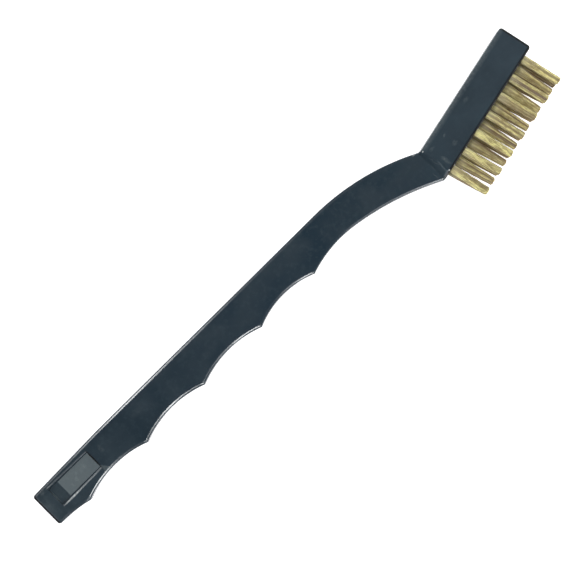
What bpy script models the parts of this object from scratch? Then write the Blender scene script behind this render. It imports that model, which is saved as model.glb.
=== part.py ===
# Instrument cleaning brush: a moulded handle with finger grips, and a head with three rows of
# brass tufts, each folded over a metal anchor in a blind hole.
# The brush lies on its side: X runs from the butt to the head, Y from the bristles to the spine,
# and Z across its thickness. All sizes are in metres.

import math
import random

import bmesh
import bpy
from mathutils import Matrix, Vector

MM = 0.001

# Handle, drawn from its side with the butt at X 0 and the spine at Y 0
SPINE_LENGTH = 108.8 * MM  # butt to the start of the neck
HANDLE_THICKNESS = 8.0 * MM
BUTT_DEPTH = 11.4 * MM  # spine line to the underside, at the butt
BUTT_DROP = 0.6 * MM  # how far the spine falls away towards the butt
BUTT_TAPER_LENGTH = 24.9 * MM

# Finger grips along the underside
FIRST_CUSP = 10.9 * MM
GRIP_PITCH = 22.1 * MM
GRIP_DEPTH = 2.1 * MM
BUTT_GRIP_DEPTH = 0.4 * MM
BUTT_CUSP_DEPTH = 12.5 * MM  # spine line to the cusp nearest the butt
SHORTEST_GRIP = 0.6  # the last grip takes up what is left, down to this share of a pitch

# Neck
NECK_RADIUS = 70.3 * MM
NECK_ANGLE = math.radians(27.5)
UNDERSIDE_RADIUS = 82.2 * MM
NECK_GRIP_RADIUS = 36.1 * MM
NECK_GRIP_DEPTH = 2.0 * MM  # how far the last grip rises above its cusp
NECK_GRIP_SLOPE = math.radians(8.35)  # slope where the neck grip runs into the underside

# Head
HEAD_LENGTH = 40.5 * MM  # notch to the tip
HEAD_DEPTH = 10.1 * MM  # spine to the bristle face
HEAD_WIDTH = 11.0 * MM
HEAD_TILT = math.radians(12.5)
HEEL_LENGTH = 2.7 * MM  # how far the bristle face reaches behind the notch
FLARE_END = 0.4 * MM  # from the notch to where the head has its full width
FLARE_START = 0.6 * MM  # from the notch back to where the handle begins to widen

# Moulded edges
EDGE_RADIUS = 0.75 * MM
FACE_CORNER_RADIUS = 0.1 * MM
DRAFT = math.radians(1.5)

# Pocket in one side of the butt: a flat floor, then a ramp that rises towards the head
POCKET_START = 4.6 * MM
POCKET_START_SLOPE_LENGTH = 0.3 * MM  # how far its butt end slopes in, from the mouth to the floor
POCKET_FLAT_LENGTH = 2.9 * MM
POCKET_RAMP_LENGTH = 11.4 * MM
POCKET_FLOOR_WIDTH = 5.2 * MM
POCKET_FLARE = 1.0 * MM  # how much wider each long side is at the mouth
POCKET_DEPTH = 1.1 * MM
POCKET_END_DEPTH = 0.4 * MM  # at the head end of the ramp
POCKET_CENTRE_DEPTH = 5.1 * MM  # spine line to the middle of the pocket

# Tufts
ROWS = 3
TUFT_PITCH = 5.92 * MM
FIRST_TUFT = 1.1 * MM  # notch to the first hole
TIP_MARGIN = 3.0 * MM  # least distance from the last hole to the tip
SIDE_WALL = 1.2 * MM  # outer hole to the side of the head
HOLE_DIAMETER = 2.3 * MM
HOLE_DEPTH = 5.0 * MM
HOLE_TAPER = 0.06 * MM  # how much smaller the radius is at the bottom of a hole
TRIM_LENGTH = 11.7 * MM  # bristle face to the ends of the bristles
TUFT_SPREAD = 0.2 * MM  # how far the outer bristles lean out at their ends
TUFT_LEAN = 0.2 * MM
LENGTH_SPREAD = 0.25 * MM
BRISTLE_RINGS = 2  # rings round the middle bristle, of 6 and 12 bristles
BRISTLES_PER_RING_STEP = 6
BRISTLE_SIDES = 4
BRISTLE_GAP = 0.17 * MM
ROOT_RECESS = 0.35 * MM  # bristle face down to the packed root
ROOT_BURY = 0.3 * MM
ROOT_CLEARANCE = 0.05 * MM

# Anchor plates
ANCHOR_LENGTH = 2.9 * MM
ANCHOR_HEIGHT = 1.8 * MM
ANCHOR_THICKNESS = 0.35 * MM
ANCHOR_CORNER = 0.25 * MM
ANCHOR_CLEARANCE = 0.05 * MM
FOLD_HEIGHT = 0.7 * MM  # folded wire between an anchor and the bottom of its hole

# How finely round shapes are cut
GRIP_STEPS = 8
NECK_STEPS = 10
CORNER_STEPS = 3
RIM_STEPS = 3
HOLE_SIDES = 16
SHARP_ANGLE = math.radians(35)
WELD = 0.02 * MM
CUT_MARGIN = 1.0 * MM  # how far a cutter stands out of the face it cuts
LENGTH_SEED = 7
LEAN_SEED = 3

PLASTIC_COLOUR = (0.025, 0.039, 0.053)
BRASS_COLOUR = (0.42, 0.34, 0.13)
ANCHOR_COLOUR = (0.45, 0.43, 0.38)

HALF_HANDLE = HANDLE_THICKNESS / 2
HALF_HEAD = HEAD_WIDTH / 2
WALL_INSET = (HALF_HANDLE - EDGE_RADIUS) * math.tan(DRAFT)
CORNER_RADIUS = FACE_CORNER_RADIUS + EDGE_RADIUS + WALL_INSET
HOLE_RADIUS = HOLE_DIAMETER / 2
ANCHOR_BOTTOM = FOLD_HEIGHT - HOLE_DEPTH
ANCHOR_TOP = ANCHOR_BOTTOM + ANCHOR_HEIGHT


def clear_scene():
    for obj in list(bpy.data.objects):
        bpy.data.objects.remove(obj)


def new_collection(name):
    collection = bpy.data.collections.new(name)
    bpy.context.scene.collection.children.link(collection)
    return collection


def new_empty(name, collection, parent=None):
    empty = bpy.data.objects.new(name, None)
    collection.objects.link(empty)
    empty.parent = parent
    return empty


def new_object(name, mesh, collection, parent):
    obj = bpy.data.objects.new(name, mesh)
    collection.objects.link(obj)
    obj.parent = parent
    return obj


def mesh_of(name, bm):
    bmesh.ops.recalc_face_normals(bm, faces=bm.faces[:])
    mesh = bpy.data.meshes.new(name)
    bm.to_mesh(mesh)
    bm.free()
    return mesh


def cutter(name, bm, collection, parent):
    obj = new_object(name, mesh_of(name, bm), collection, parent)
    obj.hide_render = True
    obj.display_type = "WIRE"
    return obj


def add_boolean(obj, other, operation):
    modifier = obj.modifiers.new(other.name, "BOOLEAN")
    modifier.operation = operation
    modifier.object = other
    modifier.solver = "EXACT"


def shade(mesh):
    mesh.shade_smooth()
    mesh.set_sharp_from_angle(angle=SHARP_ANGLE)


def material(name, colour, roughness, metallic):
    made = bpy.data.materials.new(name)
    made.use_nodes = True
    shader = made.node_tree.nodes["Principled BSDF"]
    shader.inputs["Base Color"].default_value = (*colour, 1.0)
    shader.inputs["Roughness"].default_value = roughness
    shader.inputs["Metallic"].default_value = metallic
    return made


def box(low, high):
    """A block between two corners."""
    bm = bmesh.new()
    add_box(bm, low, high)
    return bm


def add_box(bm, low, high, matrix=Matrix.Identity(4)):
    low = Vector(low)
    high = Vector(high)
    place = matrix @ Matrix.Translation((low + high) / 2) @ Matrix.Diagonal((*(high - low), 1.0))
    bmesh.ops.create_cube(bm, size=1.0, matrix=place)


def extrude(bm, face, move):
    grown = bmesh.ops.extrude_face_region(bm, geom=[face])
    far_side = [item for item in grown["geom"] if isinstance(item, bmesh.types.BMVert)]
    bmesh.ops.translate(bm, verts=far_side, vec=move)


# The outline


def crown_arc(centre, radius, start, end, steps):
    """Points on a circle, at angles measured clockwise from its top."""
    points = []
    for step in range(steps + 1):
        angle = start + (end - start) * step / steps
        points.append(centre + radius * Vector((math.sin(angle), math.cos(angle))))
    return points


def bowed_arc(start, end, rise, steps):
    """Points on the arc from start to end that rises this far above its chord."""
    chord = end - start
    radius = (chord.length_squared / 4 + rise**2) / (2 * rise)
    up = Vector((-chord.y, chord.x)).normalized()
    centre = (start + end) / 2 - up * (radius - rise)
    first = start - centre
    last = end - centre
    return crown_arc(
        centre, radius, math.atan2(first.x, first.y), math.atan2(last.x, last.y), steps
    )


def rounded_corner(before, corner, after, radius):
    """Points on the arc that replaces a corner between two straight stretches."""
    back = (before - corner).normalized()
    ahead = (after - corner).normalized()
    half = math.acos(max(-1.0, min(1.0, back.dot(ahead)))) / 2
    centre = corner + (back + ahead).normalized() * radius / math.sin(half)
    spoke = corner + back * radius / math.tan(half) - centre
    turn = math.copysign(math.pi - 2 * half, ahead.cross(back))
    points = []
    for step in range(CORNER_STEPS + 1):
        angle = turn * step / CORNER_STEPS
        points.append(centre + Matrix.Rotation(angle, 2) @ spoke)
    return points


def notch_point():
    """Where the neck's top meets the head's spine."""
    return Vector(
        (
            SPINE_LENGTH + NECK_RADIUS * math.sin(NECK_ANGLE),
            -NECK_RADIUS * (1 - math.cos(NECK_ANGLE)),
        )
    )


def head_point(along, depth):
    """A point of the side view, measured along the head from the notch and down from its spine."""
    return notch_point() + Matrix.Rotation(HEAD_TILT, 2) @ Vector((along, -depth))


def grip_cusps(last_cusp):
    """The ridges between the finger grips, on a line from the first one to the last."""
    first_cusp = Vector((FIRST_CUSP, -BUTT_CUSP_DEPTH))
    span = last_cusp.x - first_cusp.x
    cusps = []
    reach = 0.0
    while reach < span - SHORTEST_GRIP * GRIP_PITCH:
        cusps.append(first_cusp.lerp(last_cusp, reach / span))
        reach += GRIP_PITCH
    return cusps + [last_cusp]


def neck_underside():
    """The last grip, and the long curve that it runs into, down to the heel."""
    heel = head_point(-HEEL_LENGTH, HEAD_DEPTH)
    centre = heel - UNDERSIDE_RADIUS * Vector((math.sin(NECK_ANGLE), math.cos(NECK_ANGLE)))
    towards_join = Vector((math.sin(NECK_GRIP_SLOPE), math.cos(NECK_GRIP_SLOPE)))
    grip_centre = centre + (UNDERSIDE_RADIUS - NECK_GRIP_RADIUS) * towards_join
    cusp_angle = -math.acos(1 - NECK_GRIP_DEPTH / NECK_GRIP_RADIUS)
    grip = crown_arc(grip_centre, NECK_GRIP_RADIUS, cusp_angle, NECK_GRIP_SLOPE, GRIP_STEPS)
    under = crown_arc(centre, UNDERSIDE_RADIUS, NECK_GRIP_SLOPE, NECK_ANGLE, NECK_STEPS)
    return grip + under[1:]


def handle_outline():
    """The side view at the parting line, anticlockwise from the butt's lower corner."""
    under = neck_underside()
    cusps = grip_cusps(under[0])
    butt_low = Vector((0.0, -BUTT_DEPTH))
    butt_high = Vector((0.0, -BUTT_DROP))
    butt_grip = bowed_arc(butt_low, cusps[0], BUTT_GRIP_DEPTH, GRIP_STEPS // 2)
    tip_low = head_point(HEAD_LENGTH, HEAD_DEPTH)
    tip_high = head_point(HEAD_LENGTH, 0.0)
    taper_end = Vector((BUTT_TAPER_LENGTH, 0.0))
    notch = notch_point()
    neck_centre = Vector((SPINE_LENGTH, -NECK_RADIUS))
    neck_top = crown_arc(neck_centre, NECK_RADIUS, NECK_ANGLE, 0.0, NECK_STEPS)
    points = rounded_corner(butt_high, butt_low, butt_grip[1], CORNER_RADIUS)
    points += butt_grip[1:-1]
    for left, right in zip(cusps, cusps[1:]):
        points += bowed_arc(left, right, GRIP_DEPTH, GRIP_STEPS)[:-1]
    points += under[:-1]
    points += rounded_corner(under[-2], under[-1], tip_low, CORNER_RADIUS)
    points += rounded_corner(under[-1], tip_low, tip_high, CORNER_RADIUS)
    points += rounded_corner(tip_low, tip_high, notch, CORNER_RADIUS)
    points += rounded_corner(tip_high, notch, neck_top[1], CORNER_RADIUS)
    points += neck_top[1:]
    points.append(taper_end)
    points += rounded_corner(taper_end, butt_high, butt_low, CORNER_RADIUS)
    return points


# The handle


def distance_past(crease, point):
    """How far a point lies past a crease that runs from the spine down, towards the head."""
    top, bottom = crease
    return (bottom - top).normalized().cross(point - top)


def flare_share(point, first_crease, last_crease):
    """0 on the handle, 1 on the head, and in between where the one widens into the other."""
    past_start = distance_past(first_crease, point)
    before_end = -distance_past(last_crease, point)
    if past_start <= 0:
        return 0.0
    if before_end <= 0:
        return 1.0
    return past_start / (past_start + before_end)


def half_shell():
    """The upper half of the handle, open at the parting line."""
    bm = bmesh.new()
    face = bm.faces.new([bm.verts.new((p.x, p.y, 0.0)) for p in handle_outline()])
    face.normal_update()
    rings = [(WALL_INSET, HALF_HANDLE - EDGE_RADIUS)]
    for step in range(RIM_STEPS):
        before = math.pi / 2 * step / RIM_STEPS
        after = math.pi / 2 * (step + 1) / RIM_STEPS
        inset = EDGE_RADIUS * (math.cos(before) - math.cos(after))
        rise = EDGE_RADIUS * (math.sin(after) - math.sin(before))
        rings.append((inset, rise))
    for inset, rise in rings:
        bmesh.ops.inset_region(
            bm, faces=[face], thickness=inset, depth=rise, use_even_offset=True, use_boundary=True
        )
    first_crease = (head_point(-FLARE_START, 0.0), head_point(-HEEL_LENGTH, HEAD_DEPTH))
    last_crease = (head_point(FLARE_END, 0.0), head_point(FLARE_END, HEAD_DEPTH))
    for top, bottom in (first_crease, last_crease):
        along = (bottom - top).normalized()
        bmesh.ops.bisect_plane(
            bm,
            geom=bm.verts[:] + bm.edges[:] + bm.faces[:],
            plane_co=(top.x, top.y, 0.0),
            plane_no=(along.y, -along.x, 0.0),
            dist=WELD,
        )
    for vert in bm.verts:
        if vert.co.z > WELD:
            share = flare_share(vert.co.xy, first_crease, last_crease)
            vert.co.z += (HALF_HEAD - HALF_HANDLE) * share
    return bm


def pocket_cutter_mesh():
    """A block with the pocket's floor below, and long sides that flare out to its mouth."""
    floor_start = POCKET_START + POCKET_START_SLOPE_LENGTH
    ramp_start = floor_start + POCKET_FLAT_LENGTH
    ramp_end = ramp_start + POCKET_RAMP_LENGTH
    low_y = -POCKET_CENTRE_DEPTH - POCKET_FLOOR_WIDTH / 2
    mouth_z = HALF_HANDLE + WELD  # just out of the face, so that no edge of the cutter lies in it
    profile = (
        (floor_start, HALF_HANDLE - POCKET_DEPTH),
        (ramp_start, HALF_HANDLE - POCKET_DEPTH),
        (ramp_end, HALF_HANDLE - POCKET_END_DEPTH),
        (ramp_end, mouth_z),
        (POCKET_START, mouth_z),
    )
    bm = bmesh.new()
    side = bm.faces.new([bm.verts.new((x, low_y, z)) for x, z in profile])
    extrude(bm, side, (0.0, POCKET_FLOOR_WIDTH, 0.0))
    for vert in bm.verts:
        if vert.co.z > HALF_HANDLE:
            vert.co.y += math.copysign(POCKET_FLARE, vert.co.y + POCKET_CENTRE_DEPTH)
    mouth = max(bm.faces, key=lambda face: face.calc_center_median().z)
    bmesh.ops.triangulate(bm, faces=[face for face in bm.faces if len(face.verts) > 4])
    extrude(bm, mouth, (0.0, 0.0, CUT_MARGIN))
    return bm


def tuft_places():
    """Each hole's place on the bristle face: along the head, and across it."""
    row_pitch = (HEAD_WIDTH - 2 * SIDE_WALL - HOLE_DIAMETER) / (ROWS - 1)
    places = []
    for row in range(ROWS):
        across = (row - (ROWS - 1) / 2) * row_pitch
        along = FIRST_TUFT + (row % 2) * TUFT_PITCH / 2
        while along <= HEAD_LENGTH - TIP_MARGIN:
            places.append((along, across))
            along += TUFT_PITCH
    return places


def hole_matrix(along, across):
    """Stands a shape in a hole: its Z points out of the bristle face, and its X along the head."""
    return Matrix.Translation((along, -HEAD_DEPTH, across)) @ Matrix.Rotation(math.pi / 2, 4, "X")


def hole_radius(z):
    """A hole's radius at a height above the bristle face; below the face, z is negative."""
    return HOLE_RADIUS + HOLE_TAPER * z / HOLE_DEPTH


def hole_cutter_mesh(places):
    bm = bmesh.new()
    depth = HOLE_DEPTH + CUT_MARGIN
    for along, across in places:
        middle = Matrix.Translation((0.0, 0.0, CUT_MARGIN - depth / 2))
        bmesh.ops.create_cone(
            bm,
            cap_ends=True,
            segments=HOLE_SIDES,
            radius1=hole_radius(-HOLE_DEPTH),
            radius2=hole_radius(CUT_MARGIN),
            depth=depth,
            matrix=hole_matrix(along, across) @ middle,
        )
    return bm


def slot_cutter_mesh(places):
    """The slits that the anchors cut beside their holes on the way in."""
    half_length = ANCHOR_LENGTH / 2 + ANCHOR_CLEARANCE
    half_width = ANCHOR_THICKNESS / 2 + ANCHOR_CLEARANCE
    bm = bmesh.new()
    for along, across in places:
        add_box(
            bm,
            (-half_length, -half_width, ANCHOR_BOTTOM - ANCHOR_CLEARANCE),
            (half_length, half_width, CUT_MARGIN),
            hole_matrix(along, across),
        )
    return bm


def make_handle(parts, cutters, brush_frame, head_frame, places):
    mesh = mesh_of("handle", half_shell())
    handle = new_object("handle", mesh, parts, brush_frame)
    mirror = handle.modifiers.new("mirror", "MIRROR")
    mirror.use_axis = (False, False, True)
    mirror.merge_threshold = WELD
    pocket = cutter("pocket_cutter", pocket_cutter_mesh(), cutters, brush_frame)
    holes = cutter("hole_cutter", hole_cutter_mesh(places), cutters, head_frame)
    slots = cutter("slot_cutter", slot_cutter_mesh(places), cutters, head_frame)
    add_boolean(holes, slots, "UNION")
    add_boolean(handle, pocket, "DIFFERENCE")
    add_boolean(handle, holes, "DIFFERENCE")
    shade(mesh)
    mesh.materials.append(material("handle_plastic", PLASTIC_COLOUR, roughness=0.32, metallic=0.0))


# Tufts and anchors, each drawn standing in its hole with the bristle face at Z 0


def bristle_roots():
    """The places of a tuft's bristles, one in the middle with rings round it, and their width."""
    root_radius = hole_radius(-ROOT_RECESS) - ROOT_CLEARANCE
    spacing = root_radius * math.cos(math.pi / HOLE_SIDES) / (BRISTLE_RINGS + 0.5)
    roots = [Vector((0.0, 0.0))]
    for ring in range(1, BRISTLE_RINGS + 1):
        count = BRISTLES_PER_RING_STEP * ring
        for index in range(count):
            angle = 2 * math.pi * index / count
            roots.append(ring * spacing * Vector((math.cos(angle), math.sin(angle))))
    return roots, spacing - BRISTLE_GAP


def bristles_mesh():
    roots, width = bristle_roots()
    radius = width / 2 / math.cos(math.pi / BRISTLE_SIDES)
    draws = random.Random(LENGTH_SEED)
    bm = bmesh.new()
    outermost = max(root.length for root in roots)
    low_z = -ROOT_RECESS - ROOT_BURY
    for root in roots:
        high_z = TRIM_LENGTH - LENGTH_SPREAD * draws.random()
        fan = root * (TUFT_SPREAD / outermost)
        made = bmesh.ops.create_cone(
            bm,
            cap_ends=True,
            segments=BRISTLE_SIDES,
            radius1=radius,
            radius2=radius,
            depth=1.0,
        )
        for vert in made["verts"]:
            share = vert.co.z + 0.5
            vert.co.x += root.x + fan.x * share
            vert.co.y += root.y + fan.y * share
            vert.co.z = low_z + (high_z - low_z) * share
    return bm


def root_mesh():
    """The packed and folded wires that fill the hole."""
    low_z = ROOT_CLEARANCE - HOLE_DEPTH
    high_z = -ROOT_RECESS
    bm = bmesh.new()
    bmesh.ops.create_cone(
        bm,
        cap_ends=True,
        segments=HOLE_SIDES,
        radius1=hole_radius(low_z) - ROOT_CLEARANCE,
        radius2=hole_radius(high_z) - ROOT_CLEARANCE,
        depth=high_z - low_z,
        matrix=Matrix.Translation((0.0, 0.0, (low_z + high_z) / 2)),
    )
    return bm


def tuft_mesh(collection):
    """One tuft: bristles that grow out of a root with a window for its anchor."""
    half_width = ANCHOR_THICKNESS / 2 + ANCHOR_CLEARANCE
    window = box(
        (-HOLE_DIAMETER, -half_width, ANCHOR_BOTTOM - ANCHOR_CLEARANCE),
        (HOLE_DIAMETER, half_width, ANCHOR_TOP + ANCHOR_CLEARANCE),
    )
    root = new_object("root", mesh_of("root", root_mesh()), collection, None)
    helpers = [
        cutter("window_cutter", window, collection, None),
        cutter("bristles", bristles_mesh(), collection, None),
    ]
    add_boolean(root, helpers[0], "DIFFERENCE")
    add_boolean(root, helpers[1], "UNION")
    graph = bpy.context.evaluated_depsgraph_get()
    mesh = bpy.data.meshes.new_from_object(root.evaluated_get(graph))
    for obj in [root] + helpers:
        bpy.data.objects.remove(obj)
    return mesh


def make_tufts(parts, cutters, head_frame, places):
    pattern = tuft_mesh(cutters)
    brass = material("bristle_brass", BRASS_COLOUR, roughness=0.35, metallic=1.0)
    draws = random.Random(LEAN_SEED)
    for index, (along, across) in enumerate(places, start=1):
        mesh = pattern.copy()
        lean = TUFT_LEAN * Vector((draws.uniform(-1, 1), draws.uniform(-1, 1)))
        for vert in mesh.vertices:
            share = max(vert.co.z, 0.0) / TRIM_LENGTH
            vert.co.x += lean.x * share
            vert.co.y += lean.y * share
        mesh.materials.clear()
        mesh.materials.append(brass)
        tuft = new_object(f"tuft_{index:02d}", mesh, parts, head_frame)
        tuft.matrix_local = hole_matrix(along, across)
    bpy.data.meshes.remove(pattern)


def anchor_mesh():
    """A slip of flat wire, with the lower corners that bite into the plastic cut off."""
    bm = box(
        (-ANCHOR_LENGTH / 2, -ANCHOR_THICKNESS / 2, ANCHOR_BOTTOM),
        (ANCHOR_LENGTH / 2, ANCHOR_THICKNESS / 2, ANCHOR_TOP),
    )
    leading = []
    for edge in bm.edges:
        ends = [vert.co for vert in edge.verts]
        is_low = max(end.z for end in ends) < (ANCHOR_BOTTOM + ANCHOR_TOP) / 2
        if is_low and abs(ends[0].y - ends[1].y) > ANCHOR_THICKNESS / 2:
            leading.append(edge)
    bmesh.ops.bevel(bm, geom=leading, offset=ANCHOR_CORNER, segments=1, affect="EDGES")
    return mesh_of("anchor", bm)


def make_anchors(parts, head_frame, places):
    mesh = anchor_mesh()
    mesh.materials.append(material("anchor_metal", ANCHOR_COLOUR, roughness=0.4, metallic=1.0))
    for index, (along, across) in enumerate(places, start=1):
        anchor = new_object(f"anchor_{index:02d}", mesh, parts, head_frame)
        anchor.matrix_local = hole_matrix(along, across)


def centre_on_origin(brush_frame, parts):
    """Moves the brush so that it lies on Z 0 with the origin under the middle of its box."""
    bpy.context.view_layer.update()
    graph = bpy.context.evaluated_depsgraph_get()
    corners = []
    for obj in parts.objects:
        if obj.type == "MESH":
            placed = obj.evaluated_get(graph)
            corners += [placed.matrix_world @ Vector(corner) for corner in placed.bound_box]
    low = Vector([min(corner[axis] for corner in corners) for axis in range(3)])
    high = Vector([max(corner[axis] for corner in corners) for axis in range(3)])
    brush_frame.location = (-(low.x + high.x) / 2, -(low.y + high.y) / 2, -low.z)
    bpy.context.view_layer.update()


def main():
    clear_scene()
    parts = new_collection("instrument_cleaning_brush")
    cutters = new_collection("cutters")
    brush_frame = new_empty("brush_frame", parts)
    head_frame = new_empty("head_frame", parts, brush_frame)
    head_frame.location = (*notch_point(), 0.0)
    head_frame.rotation_euler.z = HEAD_TILT
    bpy.context.view_layer.update()
    places = tuft_places()
    make_handle(parts, cutters, brush_frame, head_frame, places)
    make_tufts(parts, cutters, head_frame, places)
    make_anchors(parts, head_frame, places)
    centre_on_origin(brush_frame, parts)


main()
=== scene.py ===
import math
import random

import bmesh
import bpy
from mathutils import Matrix, Vector


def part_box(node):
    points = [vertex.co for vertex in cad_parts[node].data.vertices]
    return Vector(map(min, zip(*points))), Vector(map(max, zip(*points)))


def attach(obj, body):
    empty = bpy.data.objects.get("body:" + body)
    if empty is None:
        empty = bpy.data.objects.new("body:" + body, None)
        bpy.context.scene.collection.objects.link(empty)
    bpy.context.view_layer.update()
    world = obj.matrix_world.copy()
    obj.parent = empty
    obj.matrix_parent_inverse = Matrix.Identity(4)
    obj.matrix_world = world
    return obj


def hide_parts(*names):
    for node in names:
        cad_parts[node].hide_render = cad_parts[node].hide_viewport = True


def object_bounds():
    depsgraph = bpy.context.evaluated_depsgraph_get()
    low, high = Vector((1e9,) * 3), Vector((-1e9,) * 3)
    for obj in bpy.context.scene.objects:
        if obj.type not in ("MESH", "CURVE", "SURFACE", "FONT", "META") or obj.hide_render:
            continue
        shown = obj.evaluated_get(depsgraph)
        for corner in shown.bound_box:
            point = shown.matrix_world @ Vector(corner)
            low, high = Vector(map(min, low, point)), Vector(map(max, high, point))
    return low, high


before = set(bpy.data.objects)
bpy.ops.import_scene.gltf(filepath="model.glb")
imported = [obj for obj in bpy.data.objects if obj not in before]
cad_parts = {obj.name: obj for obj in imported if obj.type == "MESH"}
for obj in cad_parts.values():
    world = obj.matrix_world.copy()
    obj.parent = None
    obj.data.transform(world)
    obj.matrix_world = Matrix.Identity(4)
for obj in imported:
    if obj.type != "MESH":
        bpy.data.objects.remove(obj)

cadLow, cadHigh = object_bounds()
mm = 0.001
mergeDistance = 0.001 * mm

# The brush lies on its side: X runs from the butt to the head, Y from the bristles to the spine.
# The handle is drawn from its side with the butt at X 0 and the spine at Y 0. It is then laid
# over the CAD.


def newObject(name, bm, *finishes):
    mesh = bpy.data.meshes.new(name)
    bm.to_mesh(mesh)
    bm.free()
    made = bpy.data.objects.new(name, mesh)
    bpy.context.scene.collection.objects.link(made)
    for finish in finishes:
        mesh.materials.append(finish)
    return made


def vertsIn(geom):
    return [item for item in geom if isinstance(item, bmesh.types.BMVert)]


def edgesIn(geom):
    return [item for item in geom if isinstance(item, bmesh.types.BMEdge)]


def facesIn(geom):
    return [item for item in geom if isinstance(item, bmesh.types.BMFace)]


def smoothTo(mesh, angle):
    mesh.shade_smooth()
    mesh.set_sharp_from_angle(angle=angle)


# A fresh colour ramp has two stops, which become the first and the last
def setStops(ramp, stops):
    first, *between, last = stops
    for element, (position, colour) in zip(ramp.elements, (first, last)):
        element.position = position
        element.color = colour
    for position, colour in between:
        ramp.elements.new(position).color = colour


# Adds nodes to a material and joins them with short calls
class NodeSketch:
    def __init__(self, name):
        self.material = bpy.data.materials.new(name)
        self.material.use_nodes = True
        self.tree = self.material.node_tree
        self.shader = self.tree.nodes["Principled BSDF"]

    def join(self, value, socket):
        if isinstance(value, bpy.types.NodeSocket):
            self.tree.links.new(value, socket)
        else:
            socket.default_value = value

    def add(self, kind, inputs=(), **settings):
        node = self.tree.nodes.new("ShaderNode" + kind)
        for name, value in settings.items():
            setattr(node, name, value)
        for name, value in dict(inputs).items():
            self.join(value, node.inputs[name])
        return node

    def feed(self, name, value):
        self.join(value, self.shader.inputs[name])

    def place(self, scale=(1, 1, 1), turn=(0, 0, 0)):
        spot = self.add("TexCoord").outputs["Object"]
        return self.add("Mapping", {"Vector": spot, "Scale": scale, "Rotation": turn}).outputs[0]

    # The spot as seen from a frame with its own centre, turn and size
    def seenFrom(self, spot, centre=(0, 0, 0), turn=(0, 0, 0), size=(1, 1, 1)):
        inputs = {"Vector": spot, "Location": centre, "Rotation": turn, "Scale": size}
        return self.add("Mapping", inputs, vector_type="TEXTURE").outputs[0]

    def split(self, vector):
        made = self.add("SeparateXYZ", {"Vector": vector})
        return [made.outputs[axis] for axis in "XYZ"]

    def noise(self, vector, scale, detail=3.0, roughness=0.5):
        inputs = {"Vector": vector, "Scale": scale, "Detail": detail, "Roughness": roughness}
        return self.add("TexNoise", inputs).outputs["Fac"]

    # The value's range from low to high, spread over another range
    def span(self, value, low, high, to=(0.0, 1.0)):
        inputs = {
            "Value": value,
            "From Min": low,
            "From Max": high,
            "To Min": to[0],
            "To Max": to[1],
        }
        return self.add("MapRange", inputs).outputs["Result"]

    def ramp(self, value, stops):
        made = self.add("ValToRGB", {"Fac": value})
        setStops(made.color_ramp, stops)
        return made.outputs["Color"]

    # The Mix node's colour sockets have the numbers 6 and 7, and its result has number 2
    def blend(self, share, first, second):
        inputs = {0: share, 6: first, 7: second}
        return self.add("Mix", inputs, data_type="RGBA").outputs[2]

    def plus(self, first, second):
        return self.add("Math", {0: first, 1: second}, operation="ADD").outputs[0]

    def minus(self, first, second):
        return self.add("Math", {0: first, 1: second}, operation="SUBTRACT").outputs[0]

    def times(self, first, second):
        return self.add("Math", {0: first, 1: second}, operation="MULTIPLY").outputs[0]

    def moved(self, vector, offset):
        return self.add("VectorMath", {0: vector, 1: offset}, operation="ADD").outputs[0]

    def bump(self, height, strength, distance, over=None):
        inputs = {"Height": height, "Strength": strength, "Distance": distance}
        if over is not None:
            inputs["Normal"] = over
        return self.add("Bump", inputs).outputs[0]


# The side view of the handle

side = {
    "spine": 108.8 * mm,  # butt to the start of the neck
    "buttDepth": 11.4 * mm,
    "buttDrop": 0.6 * mm,
    "taper": 24.9 * mm,
    "firstCusp": Vector((10.9, -12.5)) * mm,
    "gripPitch": 22.1 * mm,
    "gripRise": 2.1 * mm,
    "buttGripRise": 0.4 * mm,
    "shortestGrip": 0.6,  # the least length of the last grip, as a share of the pitch
    "neckRadius": 70.3 * mm,
    "neckAngle": math.radians(27.5),
    "underRadius": 82.2 * mm,
    "neckGripRadius": 36.1 * mm,
    "neckGripRise": 2.0 * mm,
    "neckGripSlope": math.radians(8.35),
    "cornerRadius": 0.98 * mm,
    "cornerReach": 0.45,  # share of an edge that a round corner may take
    "cornerSteps": 6,
    "buttGripSteps": 5,
    "gripSteps": 22,
    "neckSteps": 30,
}
head = {
    "length": 40.46 * mm,
    "depth": 10.1 * mm,
    "halfWidth": 5.5 * mm,
    "tilt": math.radians(12.5),
    "heel": 2.7 * mm,
    "flareStart": 0.6 * mm,
    "flareEnd": 0.4 * mm,
}
notch = Vector((
    side["spine"] + side["neckRadius"] * math.sin(side["neckAngle"]),
    -side["neckRadius"] * (1 - math.cos(side["neckAngle"])),
))


def headPoint(along, depth):
    return notch + Matrix.Rotation(head["tilt"], 2) @ Vector((along, -depth))


# The direction from a circle's centre, at an angle measured clockwise from its top
def crown(angle):
    return Vector((math.sin(angle), math.cos(angle)))


def drawArc(bm, start, centre, angle, steps):
    spun = bmesh.ops.spin(
        bm, geom=[start], cent=(*centre, 0), axis=(0, 0, 1), angle=angle, steps=steps
    )
    return vertsIn(spun["geom_last"])[0]


# An arc to the right that rises this far above its chord
def drawBow(bm, start, end, rise, steps):
    first = start.co.xy
    chord = end - first
    radius = (chord.length_squared / 4 + rise**2) / (2 * rise)
    up = Vector((-chord.y, chord.x)).normalized()
    centre = (first + end) / 2 - up * (radius - rise)
    return drawArc(bm, start, centre, -2 * math.asin(chord.length / 2 / radius), steps)


def drawLine(bm, start, end):
    grown = bmesh.ops.extrude_vert_indiv(bm, verts=[start])
    grown["verts"][0].co = (*end, 0)
    return grown["verts"][0]


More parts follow.
